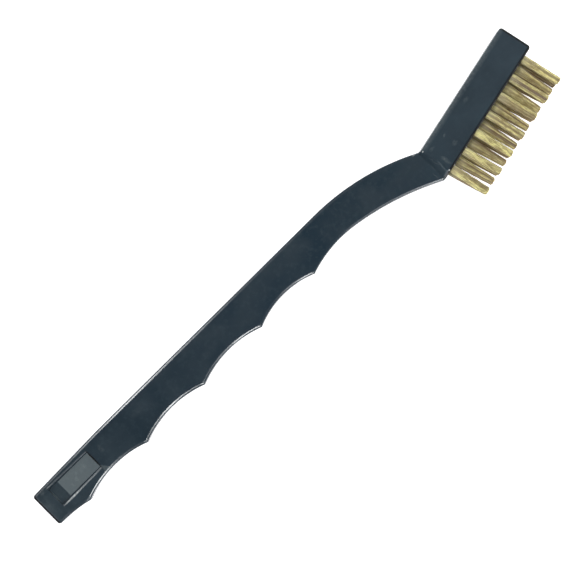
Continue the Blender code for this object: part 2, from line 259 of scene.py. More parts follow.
# Rounds the corner of the outline that is nearest to a point
def roundCorner(bm, point):
    vert = min(bm.verts, key=lambda v: (v.co.xy - point).length)
    ahead, behind = [(edge.other_vert(vert).co - vert.co) for edge in vert.link_edges]
    reach = side["cornerRadius"] / math.tan(ahead.angle(behind) / 2)
    reach = min(reach, side["cornerReach"] * ahead.length, side["cornerReach"] * behind.length)
    bmesh.ops.bevel(
        bm,
        geom=[vert],
        offset=reach,
        segments=side["cornerSteps"],
        profile=0.5,
        affect="VERTICES",
        material=-1,
    )


def drawOutline(bm):
    butt = Vector((0, -side["buttDepth"]))
    buttTop = Vector((0, -side["buttDrop"]))
    heel = headPoint(-head["heel"], head["depth"])
    tip = headPoint(head["length"], head["depth"])
    tipTop = headPoint(head["length"], 0)
    neckCentre = Vector((side["spine"], -side["neckRadius"]))
    underCentre = heel - side["underRadius"] * crown(side["neckAngle"])
    inward = side["underRadius"] - side["neckGripRadius"]
    gripCentre = underCentre + inward * crown(side["neckGripSlope"])
    cuspAngle = -math.acos(1 - side["neckGripRise"] / side["neckGripRadius"])
    lastCusp = gripCentre + side["neckGripRadius"] * crown(cuspAngle)
    cusps = []
    reach = 0.0
    span = lastCusp.x - side["firstCusp"].x
    while reach < span - side["shortestGrip"] * side["gripPitch"]:
        cusps.append(side["firstCusp"].lerp(lastCusp, reach / span))
        reach += side["gripPitch"]
    cusps.append(lastCusp)

    pen = bm.verts.new((*butt, 0))
    pen = drawBow(bm, pen, cusps[0], side["buttGripRise"], side["buttGripSteps"])
    for cusp in cusps[1:]:
        pen = drawBow(bm, pen, cusp, side["gripRise"], side["gripSteps"])
    pen = drawArc(bm, pen, gripCentre, cuspAngle - side["neckGripSlope"], side["gripSteps"])
    underAngle = side["neckGripSlope"] - side["neckAngle"]
    pen = drawArc(bm, pen, underCentre, underAngle, side["neckSteps"])
    pen = drawLine(bm, pen, tip)
    pen = drawLine(bm, pen, tipTop)
    pen = drawLine(bm, pen, notch)
    pen = drawArc(bm, pen, neckCentre, side["neckAngle"], side["neckSteps"])
    pen = drawLine(bm, pen, Vector((side["taper"], 0)))
    pen = drawLine(bm, pen, buttTop)
    drawLine(bm, pen, butt)
    bmesh.ops.remove_doubles(bm, verts=bm.verts[:], dist=mergeDistance)
    bmesh.ops.contextual_create(bm, geom=bm.edges[:])
    for corner in (butt, heel, tip, tipTop, notch, buttTop):
        roundCorner(bm, corner)
    return bm.faces[:][0]


# The moulded body of the handle

body = {
    "halfThickness": 4.0 * mm,
    "edgeRadius": 0.75 * mm,
    "edgeSteps": 8,
    "draft": math.radians(1.5),
    "seam": 0.03 * mm,  # the line where the two halves of the mould met
    "support": 0.1 * mm,  # flat strip that keeps the shading of the faces even
    "cuspBevel": 0.1 * mm,
    "cuspSteps": 3,
    "cuspAngle": math.radians(25),
    "cutSnap": 0.01 * mm,  # corners this near to a crease are taken into it
    "smoothAngle": math.radians(30),
}


# Grows the outline into the upper half: a drafted side, a rounded edge and a flat strip
def raiseHalf(bm, face):
    face.normal_update()
    if face.normal.z < 0:
        face.normal_flip()
    radius = body["edgeRadius"]
    seam = body["seam"]
    wall = body["halfThickness"] - radius
    rings = [
        (0, seam),
        (seam, seam / 2),
        (wall * math.tan(body["draft"]) - seam, wall - seam - seam / 2),
    ]
    quarter = math.pi / 2 / body["edgeSteps"]
    for step in range(body["edgeSteps"]):
        inset = radius * (math.cos(quarter * step) - math.cos(quarter * (step + 1)))
        rise = radius * (math.sin(quarter * (step + 1)) - math.sin(quarter * step))
        rings.append((inset, rise))
    rings.append((body["support"], 0))
    for inset, rise in rings:
        bmesh.ops.inset_region(
            bm, faces=[face], thickness=inset, depth=rise, use_even_offset=True, use_boundary=True
        )


# Rounds the ridges between the finger grips, from the seam to the flat face
def softenCusps(bm):
    ridges = []
    for edge in bm.edges:
        start, end = edge.verts
        steep = abs(start.co.z - end.co.z) > mergeDistance
        if steep and edge.calc_face_angle(0) > body["cuspAngle"]:
            ridges.append(edge)
    bmesh.ops.bevel(
        bm,
        geom=ridges,
        offset=body["cuspBevel"],
        segments=body["cuspSteps"],
        profile=0.5,
        affect="EDGES",
        material=-1,
    )


# How far a point lies past a crease, towards the head
def pastCrease(crease, point):
    top, bottom = crease
    return (bottom - top).normalized().cross(point - top)


# Creases the body at both ends of the flare and lifts what lies past them
def widenHead(bm):
    start = (headPoint(-head["flareStart"], 0), headPoint(-head["heel"], head["depth"]))
    end = (headPoint(head["flareEnd"], 0), headPoint(head["flareEnd"], head["depth"]))
    for top, bottom in (start, end):
        along = (bottom - top).normalized()
        bmesh.ops.bisect_plane(
            bm,
            geom=bm.verts[:] + bm.edges[:] + bm.faces[:],
            plane_co=(*top, 0),
            plane_no=(along.y, -along.x, 0),
            dist=body["cutSnap"],
        )
    # The rings at the seam stay where they are
    lift = head["halfWidth"] - body["halfThickness"]
    for vert in bm.verts:
        if vert.co.z > 2 * body["seam"]:
            before = max(pastCrease(start, vert.co.xy), 0)
            after = max(-pastCrease(end, vert.co.xy), 0)
            vert.co.z += lift * before / (before + after)


# The pocket in the butt

pocket = {
    "start": 4.6 * mm,
    "startSlope": 0.06 * mm,  # how far the butt end slopes in, from the mouth to the floor
    "ramp": 7.8 * mm,
    "end": 19.3 * mm,
    "endSlope": 0.15 * mm,
    "middle": -5.1 * mm,
    "halfFloor": 2.6 * mm,
    "flare": 1.0 * mm,
    "endFlare": 0.7 * mm,
    "depth": 1.1 * mm,
    "endDepth": 0.4 * mm,
    "crease": 0.1 * mm,  # half the strip where the floor turns into the ramp
    "steps": 9,
    "facesUp": 0.9,  # the least Z in the normal of the face that it sinks into
}
pocketStations = (
    pocket["start"],
    pocket["ramp"] - pocket["crease"],
    pocket["ramp"] + pocket["crease"],
    pocket["end"],
)


# A point of the pocket's side, a quarter of an ellipse: 0 at its mouth, 90 degrees at its floor
def pocketPoint(x, sign, angle):
    outward = 1 - math.sin(angle)
    fallen = 1 - math.cos(angle)
    onRamp = max(0.0, (x - pocket["ramp"]) / (pocket["end"] - pocket["ramp"]))
    depth = pocket["depth"] + (pocket["endDepth"] - pocket["depth"]) * onRamp
    flare = pocket["flare"] + (pocket["endFlare"] - pocket["flare"]) * onRamp
    inward = {pocket["start"]: pocket["startSlope"], pocket["end"]: -pocket["endSlope"]}.get(x, 0)
    return Vector((
        x + inward * (1 - outward),
        pocket["middle"] + sign * (pocket["halfFloor"] + flare * outward),
        body["halfThickness"] - depth * fallen,
    ))


# Splits some faces along a plane and returns all the pieces
def cutFaces(bm, faces, point, normal):
    geom = list(faces)
    for face in faces:
        geom += [item for item in (*face.verts, *face.edges) if item not in geom]
    cut = bmesh.ops.bisect_plane(bm, geom=geom, plane_co=point, plane_no=normal, dist=mergeDistance)
    return facesIn(cut["geom"])


def centreOf(face):
    return face.calc_center_median()


def sinkPocket(bm):
    level = [face for face in bm.faces if face.normal.z > pocket["facesUp"]]
    top = max(level, key=lambda face: face.calc_area())
    height = body["halfThickness"]
    slack = body["support"]
    reach = pocket["halfFloor"] + pocket["flare"]
    faces = [top]
    for x in (pocket["start"] - slack, pocket["end"] + slack):
        faces = cutFaces(bm, faces, (x, 0, height), (1, 0, 0))
    strip = [f for f in faces if pocket["start"] < centreOf(f).x < pocket["end"]]
    for sign in (-1, 1):
        y = pocket["middle"] + sign * (reach + slack)
        strip = cutFaces(bm, strip, (0, y, height), (0, 1, 0))
    faces = [f for f in strip if abs(centreOf(f).y - pocket["middle"]) < reach]
    bmesh.ops.inset_region(
        bm, faces=faces, thickness=slack, use_even_offset=True, use_boundary=True
    )
    for x in pocketStations[1:-1]:
        faces = cutFaces(bm, faces, (x, 0, height), (1, 0, 0))
    spots = {}
    for face in faces:
        for vert in face.verts:
            x = min(pocketStations, key=lambda at: abs(at - vert.co.x))
            spots[vert] = (x, math.copysign(1, vert.co.y - pocket["middle"]))
    for step in range(pocket["steps"] + 1):
        if step > 0:
            order = {tuple(vert.co): spot for vert, spot in spots.items()}
            grown = bmesh.ops.extrude_face_region(bm, geom=faces)["geom"]
            spots = {vert: order[tuple(vert.co)] for vert in vertsIn(grown)}
            bmesh.ops.delete(bm, geom=faces, context="FACES")
            faces = facesIn(grown)
        for vert, (x, sign) in spots.items():
            vert.co = pocketPoint(x, sign, math.pi / 2 * step / pocket["steps"])


# The holes that hold the tufts

holes = {
    "rows": 3,
    "pitch": 5.92 * mm,
    "first": 1.1 * mm,
    "tipMargin": 3.0 * mm,
    "sideWall": 1.2 * mm,
    "radius": 1.15 * mm,
    "depth": 5.0 * mm,
    "taper": 0.06 * mm,
    "chamfer": 0.12 * mm,
    "slotHalfLength": 1.5 * mm,
    "slotHalfWidth": 0.225 * mm,
    "slotDepth": 4.35 * mm,
    "sides": 32,
    "margin": 0.4 * mm,  # how far the cutter of a bore stands out of the face
    "slotMargin": 0.2 * mm,  # the same for a slit
}


def tuftPlaces():
    room = 2 * head["halfWidth"] - 2 * holes["sideWall"] - 2 * holes["radius"]
    rowPitch = room / (holes["rows"] - 1)
    places = []
    for row in range(holes["rows"]):
        across = (row - (holes["rows"] - 1) / 2) * rowPitch
        along = holes["first"] + (row % 2) * holes["pitch"] / 2
        while along <= head["length"] - holes["tipMargin"]:
            places.append((along, across))
            along += holes["pitch"]
    return places


def holeMatrix(along, across):
    outOfFace = Matrix.Rotation(math.pi / 2, 4, "X")
    return Matrix.Translation((along, -head["depth"], across)) @ outOfFace


# One bmesh with a copy of the pattern at each hole
def atEachHole(pattern, places, headFrame):
    mesh = bpy.data.meshes.new("pattern")
    pattern.to_mesh(mesh)
    pattern.free()
    bm = bmesh.new()
    for place in places:
        count = len(bm.verts)
        bm.from_mesh(mesh)
        bm.verts.ensure_lookup_table()
        bmesh.ops.transform(bm, matrix=headFrame @ holeMatrix(*place), verts=bm.verts[count:])
    bpy.data.meshes.remove(mesh)
    return bm


# Tapered bores with a small chamfer at each mouth
def boreCutter(places, headFrame):
    pattern = bmesh.new()
    radius = holes["radius"]
    profile = [
        (0, -holes["depth"]),
        (radius - holes["taper"], -holes["depth"]),
        (radius, -holes["chamfer"]),
        (radius + holes["chamfer"] + holes["margin"], holes["margin"]),
        (0, holes["margin"]),
    ]
    line = [pattern.verts.new((x, 0, z)) for x, z in profile]
    edges = [pattern.edges.new(pair) for pair in zip(line, line[1:])]
    bmesh.ops.spin(
        pattern,
        geom=line + edges,
        cent=(0, 0, 0),
        axis=(0, 0, 1),
        angle=2 * math.pi,
        steps=holes["sides"],
        use_merge=True,
    )
    halfStep = Matrix.Rotation(math.pi / holes["sides"], 3, "Z")
    bmesh.ops.rotate(pattern, verts=pattern.verts[:], matrix=halfStep)
    bmesh.ops.remove_doubles(pattern, verts=pattern.verts[:], dist=mergeDistance)
    bmesh.ops.recalc_face_normals(pattern, faces=pattern.faces[:])
    return atEachHole(pattern, places, headFrame)


# The slits beside each bore, where the anchor was driven in
def slotCutter(places, headFrame):
    pattern = bmesh.new()
    top = holes["slotMargin"]
    height = holes["slotDepth"] + top
    size = Matrix.Diagonal((2 * holes["slotHalfLength"], 2 * holes["slotHalfWidth"], height, 1))
    middle = Matrix.Translation((0, 0, (top - holes["slotDepth"]) / 2))
    bmesh.ops.create_cube(pattern, size=1, matrix=middle @ size)
    return atEachHole(pattern, places, headFrame)


def cutWith(piece, cutter, operation):
    cut = piece.modifiers.new(cutter.name, "BOOLEAN")
    cut.operation = operation
    cut.object = cutter
    cut.solver = "EXACT"


# Bakes a piece's modifiers into its mesh
def applyCuts(piece):
    graph = bpy.context.evaluated_depsgraph_get()
    mesh = bpy.data.meshes.new_from_object(piece.evaluated_get(graph))
    piece.modifiers.clear()
    piece.data = mesh


def makeHandle(places):
    print("handle: outline and body")
    bm = bmesh.new()
    face = drawOutline(bm)
    raiseHalf(bm, face)
    softenCusps(bm)
    widenHead(bm)
    half = bm.verts[:] + bm.edges[:] + bm.faces[:]
    bmesh.ops.mirror(bm, geom=half, merge_dist=mergeDistance, axis="Z")
    bmesh.ops.recalc_face_normals(bm, faces=bm.faces[:])
    print("handle: pocket")
    sinkPocket(bm)
    low = Vector([min(vert.co[axis] for vert in bm.verts) for axis in range(3)])
    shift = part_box("handle")[0] - low
    handleFrame = Matrix.Translation(shift)
    bm.transform(handleFrame)
    tilt = Matrix.Rotation(head["tilt"], 4, "Z")
    headFrame = handleFrame @ Matrix.Translation((*notch, 0)) @ tilt
    handle = newObject("handle_moulding", bm, plasticFinish(handleFrame, headFrame))
    print("handle: holes")
    bores = newObject("bores", boreCutter(places, headFrame))
    slots = newObject("slots", slotCutter(places, headFrame))
    cutWith(bores, slots, "UNION")
    cutWith(handle, bores, "DIFFERENCE")
    applyCuts(handle)
    bpy.data.objects.remove(bores)
    bpy.data.objects.remove(slots)
    smoothTo(handle.data, body["smoothAngle"])
    even = handle.modifiers.new("even shading", "WEIGHTED_NORMAL")
    even.keep_sharp = True
    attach(handle, "root")
    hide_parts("handle")
    print("handle:", len(handle.data.polygons), "faces")
    return headFrame


# Wear and dirt on the plastic, and light and shade painted into its colour. Depths are measured
# down from the near face.

wearAndPaintedLight = {
    # Colours: pale for scuffs and for painted light, glint for painted highlights, and a near black
    # for painted shade
    "pale": (0.13, 0.16, 0.17, 1),
    "glint": (0.75, 0.8, 0.8, 1),
    "paintedShade": (0.002, 0.003, 0.004, 1),
    "ovalCore": 0.35,  # the share of an oval mark that has its full strength
    "scuffDepth": 1.0,  # half the depth of a scuff's oval, in mm
    "ragged": 1.3 * mm,  # how far the scuffs' outlines wander
    "raggedNoise": {"Scale": 700, "Detail": 3},
    "brokenNoise": {"scale": 1300, "detail": 4, "roughness": 0.65},
    "brokenSpan": (0.35, 0.65, (0.3, 1)),
    "nearStart": 1 * mm,  # marks on the edges fade out between these two depths
    "nearEnd": 2 * mm,
    "edgeStart": 0.9 * mm,  # how far down the head its scuffed top edge and painted sheen begin to fade
    "edgeEnd": 1.7 * mm,
    "edgeRise": 2 * mm,  # along the head from the notch, to its full strength
    "edgeStrength": 0.5,
    "facet": Vector((19.3, -7.2)) * mm,  # upper corner of the triangle beside the pocket that is painted lighter as a highlight
    "facetEnd": 20.8 * mm,
    "facetSlope": 1.2,
    "facetSoft": 0.15 * mm,
    "facetStrength": 0.5,
    "paintedShadeWidth": 0.62 * mm,  # painted shade on the edges of both ends and along the lower edge of the head
    "paintedShadeFade": 0.3 * mm,
    "paintedShadeStrength": 0.9,
    "glintSize": Vector((0.3, 0.26, 0.9)) * mm,
    "glintDepth": 0.3 * mm,
    "heel": Vector((-1.3, -9.8, 4.6)) * mm,  # rubbed dull, in the head's own frame
    "heelSize": Vector((1.8, 1.2, 2.2)) * mm,
    "ridge": Vector((11.0, -12.2, 3.6)) * mm,  # the first two ridges are rubbed too
    "ridgeSize": Vector((1.1, 1.1, 1.6)) * mm,
    "ridgeCount": 2,
    "rubbed": 0.4,
}
# Scuffs on the near face, and thin painted highlights beside the creases of the flare, in mm:
# middle along and below the top line, half length, half height and strength
headScuffsAndHighlights = (
    (1.9, 7.2, 0.7, 1.9, 0.65),
    (7.1, 6.7, 1.0, 0.9, 0.4),
    (7.1, 3.2, 0.7, 0.35, 0.6),
    (2.4, 2.4, 1.2, 0.45, 0.35),
    (18.5, 3.0, 1.4, 0.8, 0.22),
    # A thin pale line beside the crease where the flare ends is a painted highlight
    (-0.2, 5.5, 0.15, 3.6, 0.3),
)
handleScuffsAndHighlights = (
    (10.6, 6.0, 3.4, 1.7, 0.6),
    (14.6, 4.3, 3.4, 1.5, 0.4),
    (22.8, 4.3, 0.7, 1.6, 0.2),
    (1.9, 5.5, 1.3, 3.4, 0.15),
    (3.0, 1.9, 1.2, 0.7, 0.3),
    # A thin pale line beside the crease where the flare starts is a painted highlight
    (139.8, 16.0, 0.25, 1.6, 0.4),
    (36.5, 4.2, 2.5, 1.3, 0.1),
    (62.0, 6.5, 4.0, 1.6, 0.07),
)
# Painted highlights: bright lines on the lips of the pocket, and one where the spine meets the head
lipHighlights = (
    (139.7, 7.35, 0.8, 0.5, 0.55),
    (8.4, 8.42, 3.7, 0.36, 0.75),
    (13.5, 8.38, 6.5, 0.26, 0.3),
    (5.4, 1.8, 1.6, 0.18, 0.15),
)
# Light and shade painted into the pocket: middle along the handle, depth, half sizes, tone and
# strength
pocketLightAndShade = (
    # Painted light on the wall at the butt end
    (pocket["start"] + 0.1 * mm, pocket["depth"] / 2, (0.3, 3.7, 0.75), wearAndPaintedLight["pale"], 1),
    # Painted shadow in the corner where the ramp ends
    (pocket["end"] + 0.08 * mm, 0.2 * mm, (0.4, 4.4, 0.9), wearAndPaintedLight["paintedShade"], 1),
    # Thin painted light on the level part of the floor
    (pocket["start"] + 1.7 * mm, pocket["depth"], (2.8, 5, 0.7), wearAndPaintedLight["pale"], 0.08),
)
# Small glints on the near edge where the head begins, in mm along it and below its top line
glints = ((0.35, 0.76), (0.1, 9.5), (-2.65, 9.3))


# 1 in the middle of an oval, falling to 0 at its edge
def ovalMask(look, spot, centre, size):
    moved = look.seenFrom(spot, centre=centre, size=size)
    reach = look.add("VectorMath", {0: moved}, operation="LENGTH").outputs["Value"]
    return look.span(reach, 1.0, wearAndPaintedLight["ovalCore"])


# A triangle between the pocket's end and the rim of the first grip, painted lighter as a highlight
def facetHighlightMask(look, spot):
    x, y, z = look.split(spot)
    soft = wearAndPaintedLight["facetSoft"]
    corner = wearAndPaintedLight["facet"]
    edge = -wearAndPaintedLight["facetSlope"] * corner.x - corner.y
    past = look.minus(look.times(x, -wearAndPaintedLight["facetSlope"]), y)
    mask = look.times(look.span(past, edge, edge + soft), wearAndPaintedLight["facetStrength"])
    mask = look.times(mask, look.span(x, corner.x - soft, corner.x + soft))
    mask = look.times(mask, look.span(x, wearAndPaintedLight["facetEnd"] + soft, wearAndPaintedLight["facetEnd"]))
    face = body["halfThickness"] - body["edgeRadius"]
    return look.times(mask, look.span(z, face - soft, face + soft))


# 1 near the upper face, falling to 0 further down
def nearMask(look, z, face):
    return look.span(z, face - wearAndPaintedLight["nearEnd"], face - wearAndPaintedLight["nearStart"])


# Painted shade, at full strength in a strip along an edge and fading inwards
def paintedShadeMask(look, value, edge, near):
    start = edge - wearAndPaintedLight["paintedShadeWidth"]
    mask = look.span(value, start - wearAndPaintedLight["paintedShadeFade"], start, (0, wearAndPaintedLight["paintedShadeStrength"]))
    return look.times(mask, near)


# A random offset, which gives the scuffs their ragged outlines. The noise is centred on 0.5.
def scuffDrift(look, spot):
    drift = look.add("TexNoise", {"Vector": spot, **wearAndPaintedLight["raggedNoise"]}).outputs["Color"]
    drift = look.moved(drift, (-0.5, -0.5, -0.5))
    inputs = {0: drift, "Scale": wearAndPaintedLight["ragged"]}
    return look.add("VectorMath", inputs, operation="SCALE").outputs[0]


# Pale scuffs, and painted highlights along the creases of the flare, on the lips of the pocket and
# on the spine
def addScuffsAndHighlights(look, spot, colour, onHead, onHandle, broken):
    drift = scuffDrift(look, spot)
    for frameSpot, face, scuffs, tone in (
        (look.moved(onHead, drift), head["halfWidth"], headScuffsAndHighlights, wearAndPaintedLight["pale"]),
        (look.moved(onHandle, drift), body["halfThickness"], handleScuffsAndHighlights, wearAndPaintedLight["pale"]),
        # Painted highlights on the lips of the pocket and on the spine
        (onHandle, body["halfThickness"], lipHighlights, wearAndPaintedLight["glint"]),
    ):
        for along, below, halfLength, halfHeight, strength in scuffs:
            centre = Vector((along * mm, -below * mm, face))
            size = Vector((halfLength, halfHeight, wearAndPaintedLight["scuffDepth"])) * mm
            mask = look.times(ovalMask(look, frameSpot, centre, size), strength)
            colour = look.blend(look.times(mask, broken), colour, tone)
    return colour


# The worn top edge of the head with a painted sheen, the triangle with a painted highlight and the
# painted shade on the edges
def addEdgeMarks(look, colour, onHead, onHandle, broken):
    headX, headY, headZ = look.split(onHead)
    handleX, _, handleZ = look.split(onHandle)
    nearHead = nearMask(look, headZ, head["halfWidth"])
    nearButt = nearMask(look, handleZ, body["halfThickness"])
    # A pale band along the top edge of the head: scuffs, and a painted sheen
    edge = look.span(headY, -wearAndPaintedLight["edgeEnd"], -wearAndPaintedLight["edgeStart"], (0, wearAndPaintedLight["edgeStrength"]))
    edge = look.times(edge, look.span(headX, 0, wearAndPaintedLight["edgeRise"]))
    edge = look.times(edge, nearHead)
    colour = look.blend(look.times(edge, broken), colour, wearAndPaintedLight["pale"])
    # A painted highlight on the triangle beside the pocket
    colour = look.blend(facetHighlightMask(look, onHandle), colour, wearAndPaintedLight["pale"])
    # Painted shade along the butt end, the tip of the head and its lower edge
    for value, limit, near in (
        (look.times(handleX, -1), 0, nearButt),
        (headX, head["length"], nearHead),
        (look.times(headY, -1), head["depth"], nearHead),
    ):
        colour = look.blend(paintedShadeMask(look, value, limit, near), colour, wearAndPaintedLight["paintedShade"])
    return colour


# Painted light and shade in the pocket
def addPocketLightAndShade(look, colour, onHandle):
    for along, depth, halfSizes, tone, strength in pocketLightAndShade:
        centre = Vector((along, pocket["middle"], body["halfThickness"] - depth))
        mask = ovalMask(look, onHandle, centre, Vector(halfSizes) * mm)
        colour = look.blend(look.times(mask, strength), colour, tone)
    return colour


def addGlints(look, colour, onHead):
    for along, below in glints:
        centre = Vector((along * mm, -below * mm, head["halfWidth"] - wearAndPaintedLight["glintDepth"]))
        mask = ovalMask(look, onHead, centre, wearAndPaintedLight["glintSize"])
        colour = look.blend(mask, colour, wearAndPaintedLight["glint"])
    return colour


# Added roughness, where the heel and the first ridges are rubbed dull
def rubbedRoughness(look, onHead, onHandle):
    dull = ovalMask(look, onHead, wearAndPaintedLight["heel"], wearAndPaintedLight["heelSize"])
    for number in range(wearAndPaintedLight["ridgeCount"]):
        ridge = wearAndPaintedLight["ridge"] + Vector((number * side["gripPitch"], 0, 0))
        dull = look.plus(dull, ovalMask(look, onHandle, ridge, wearAndPaintedLight["ridgeSize"]))
    return look.times(dull, wearAndPaintedLight["rubbed"])


plastic = {
    "tones": (
        (0, (0.016, 0.031, 0.044, 1)),
        (0.45, (0.017, 0.035, 0.053, 1)),
        (0.69, (0.007, 0.026, 0.044, 1)),
        (0.78, (0.027, 0.049, 0.067, 1)),
        (1, (0.036, 0.059, 0.079, 1)),
    ),  # from the butt to the head
    "cloud": {"scale": 110, "detail": 2},
    "cloudSpan": (0.35, 0.65),
    "cloudTone": (0.023, 0.041, 0.057, 1),
    "mottle": {"scale": 900, "detail": 3},
    "mottleSpan": (0.5, 0.75, (0, 0.4)),
    "mottleTone": (0.034, 0.057, 0.075, 1),
    "streak": {"scale": 150, "detail": 4, "roughness": 0.7},
    "streakFrame": {"scale": (1, 9, 9), "turn": (0, 0, 0.35)},
    "streakSpan": (0.6, 0.78),
    "streakRoughness": 0.07,
    "roughnessSpan": (0.3, 0.7, (0.12, 0.16)),
    "grain": {"scale": 3500, "detail": 2},
    "grainBump": {"strength": 0.1, "distance": 0.02 * mm},
    "sink": {"scale": 140, "detail": 1},
    "sinkBump": {"strength": 0.3, "distance": 0.1 * mm},
    "ior": 1.5,
}


def plasticFinish(handleFrame, headFrame):
    look = NodeSketch("bluish_black_plastic")
    spot = look.place()
    colour = look.ramp(look.span(look.split(spot)[0], cadLow.x, cadHigh.x), plastic["tones"])
    cloud = look.noise(spot, **plastic["cloud"])
    colour = look.blend(look.span(cloud, *plastic["cloudSpan"]), colour, plastic["cloudTone"])
    mottle = look.noise(spot, **plastic["mottle"])
    colour = look.blend(look.span(mottle, *plastic["mottleSpan"]), colour, plastic["mottleTone"])
    onHead = look.seenFrom(spot, centre=headFrame.translation, turn=(0, 0, head["tilt"]))
    onHandle = look.seenFrom(spot, centre=handleFrame.translation)
    broken = look.span(look.noise(spot, **wearAndPaintedLight["brokenNoise"]), *wearAndPaintedLight["brokenSpan"])
    colour = addScuffsAndHighlights(look, spot, colour, onHead, onHandle, broken)
    colour = addEdgeMarks(look, colour, onHead, onHandle, broken)
    colour = addPocketLightAndShade(look, colour, onHandle)
    colour = addGlints(look, colour, onHead)
    look.feed("Base Color", colour)
    streak = look.noise(look.place(**plastic["streakFrame"]), **plastic["streak"])
    worn = look.times(look.span(streak, *plastic["streakSpan"]), plastic["streakRoughness"])
    worn = look.plus(worn, rubbedRoughness(look, onHead, onHandle))
    look.feed("Roughness", look.plus(look.span(cloud, *plastic["roughnessSpan"]), worn))
    fine = look.bump(look.noise(spot, **plastic["grain"]), **plastic["grainBump"])
    wavy = look.bump(look.noise(spot, **plastic["sink"]), **plastic["sinkBump"], over=fine)
    look.feed("Normal", wavy)
    look.feed("IOR", plastic["ior"])
    return look.material


# The brass tufts

tuft = {
    "trim": 11.7 * mm,
    "root": 1.5 * mm,  # how far the wires show and go on down the hole
    "wireRadius": 0.1 * mm,
    "wirePitch": 0.215 * mm,
    "bundleRadius": 1.03 * mm,
    "packing": 0.02 * mm,  # how far a wire stands from its place in the grid
    "crimp": 0.045 * mm,
    "crimpRange": (0.4, 1.2),
    "crimpLength": 3.2 * mm,
    "crimpRise": 0.5,  # the share of a wire over which the crimp grows
    "belly": (0.12 * mm, 0.5 * mm, 0.3 * mm),  # how far the outer wires bow out just above the face
    "bellyRise": 0.025,
    "clump": 0.42 * mm,  # wires that stand this near to each other bend alike
    "clumpTone": 0.65,  # the share of a wire's tone that it has from its clump
    "shade": (1.08, 0.72, 0.5),  # painted shade: the rows lose brightness from the top down, as the lower rows lie in shade
    "spread": (0.1 * mm, -0.1 * mm, 0.0),  # outwards at the tips, for each row from the top
    "spreadRange": (0.5, 1.2),
    "stray": 0.08 * mm,
    "loose": 0.3,  # a single wire's stray, as a share of its clump's
    "bendCurve": 1.3,
    "uneven": 0.22 * mm,
    "dome": 0.28 * mm,
    "domeCurve": 3,
    "segments": 10,
    "sides": 6,
    "leans": (
        (0.0, 0.35, 0.15, 0.1, 0.25, 0.1, 0.15),
        (0.5, 0.45, 0.1, 0.05, 0.05, -0.1),
        (0.5, 0.6, 0.4, 0.25, 0.45, 0.45, -0.1),
    ),  # towards the tip of the head, in mm, for each row from the top
    "lean": 0.12 * mm,  # sideways
    "leanSeed": 5,
    "smoothAngle": math.radians(70),
}


# A straight wire of unit length and radius, with rings along it
def wireMesh():
    bm = bmesh.new()
    bmesh.ops.create_circle(bm, cap_ends=False, radius=1, segments=tuft["sides"])
    ring = bm.edges[:]
    for step in range(tuft["segments"]):
        grown = bmesh.ops.extrude_edge_only(bm, edges=ring)["geom"]
        bmesh.ops.translate(bm, verts=vertsIn(grown), vec=(0, 0, 1 / tuft["segments"]))
        ring = [edge for edge in edgesIn(grown) if edge.is_boundary]
    bmesh.ops.holes_fill(bm, edges=[edge for edge in bm.edges if edge.is_boundary])
    bmesh.ops.recalc_face_normals(bm, faces=bm.faces[:])
    mesh = bpy.data.meshes.new("wire")
    bm.to_mesh(mesh)
    bm.free()
    return mesh


# Where the wires stand in a tuft: a close-packed grid, slightly disturbed
def bundleSpots(draws):
    spots = []
    pitch = tuft["wirePitch"]
    rows = int(tuft["bundleRadius"] / pitch) + 2
    for row in range(-rows, rows + 1):
        for column in range(-rows, rows + 1):
            spot = Vector(((column + (row % 2) / 2) * pitch, row * pitch * math.sqrt(0.75)))
            if spot.length < tuft["bundleRadius"]:
                loose = Vector((draws.uniform(-1, 1), draws.uniform(-1, 1)))
                spots.append(spot + tuft["packing"] * loose)
    return spots


# The rings of a wire stand at its root, at the face, where the belly is full and evenly above that
def ringHeight(ring, length):
    full = tuft["bellyRise"] * length
    if ring < 2:
        return (ring - 1) * tuft["root"]
    return full + (length - full) * (ring - 2) / (tuft["segments"] - 2)


def drawClump(draws, clumps, spot):
    cell = (round(spot.x / tuft["clump"]), round(spot.y / tuft["clump"]))
    if cell not in clumps:
        bend = tuft["stray"] * Vector((draws.gauss(0, 1), draws.gauss(0, 1)))
        clumps[cell] = (draws.random(), bend, draws.uniform(0, 2 * math.pi))
    return clumps[cell]


def drawWire(draws, clumps, spot, row, lean):
    clumpTone, bend, phase = drawClump(draws, clumps, spot)
    outward = spot.length / tuft["bundleRadius"]
    length = tuft["trim"] - tuft["uneven"] * draws.random()
    length -= tuft["dome"] * outward ** tuft["domeCurve"]
    fan = spot.normalized() * tuft["spread"][row] * outward * draws.uniform(*tuft["spreadRange"])
    stray = tuft["loose"] * tuft["stray"] * Vector((draws.gauss(0, 1), draws.gauss(0, 1)))
    swing = phase + draws.uniform(-1, 1)
    crimp = tuft["crimp"] * draws.uniform(*tuft["crimpRange"])
    tone = tuft["clumpTone"] * clumpTone + (1 - tuft["clumpTone"]) * draws.random()
    return {
        "length": length,
        "bend": fan + (bend + stray + lean),
        "swing": Vector((math.cos(swing), math.sin(swing))),
        "crimp": crimp,
        "phase": phase,
        "outward": spot.normalized() * outward,
        "belly": tuft["belly"][row],
        # The tone carries the painted shade of the row
        "tone": tone * tuft["shade"][row],
    }


# How far a wire strays sideways at a height; out is that height as a share of its length
def swayAt(wire, height, out):
    wave = wire["crimp"] * math.sin(wire["phase"] + 2 * math.pi * height / tuft["crimpLength"])
    sway = wire["swing"] * wave * min(out / tuft["crimpRise"], 1)
    sway += wire["bend"] * out ** tuft["bendCurve"]
    bow = wire["belly"] * (1 - out) * min(1, out / tuft["bellyRise"])
    return sway + wire["outward"] * bow


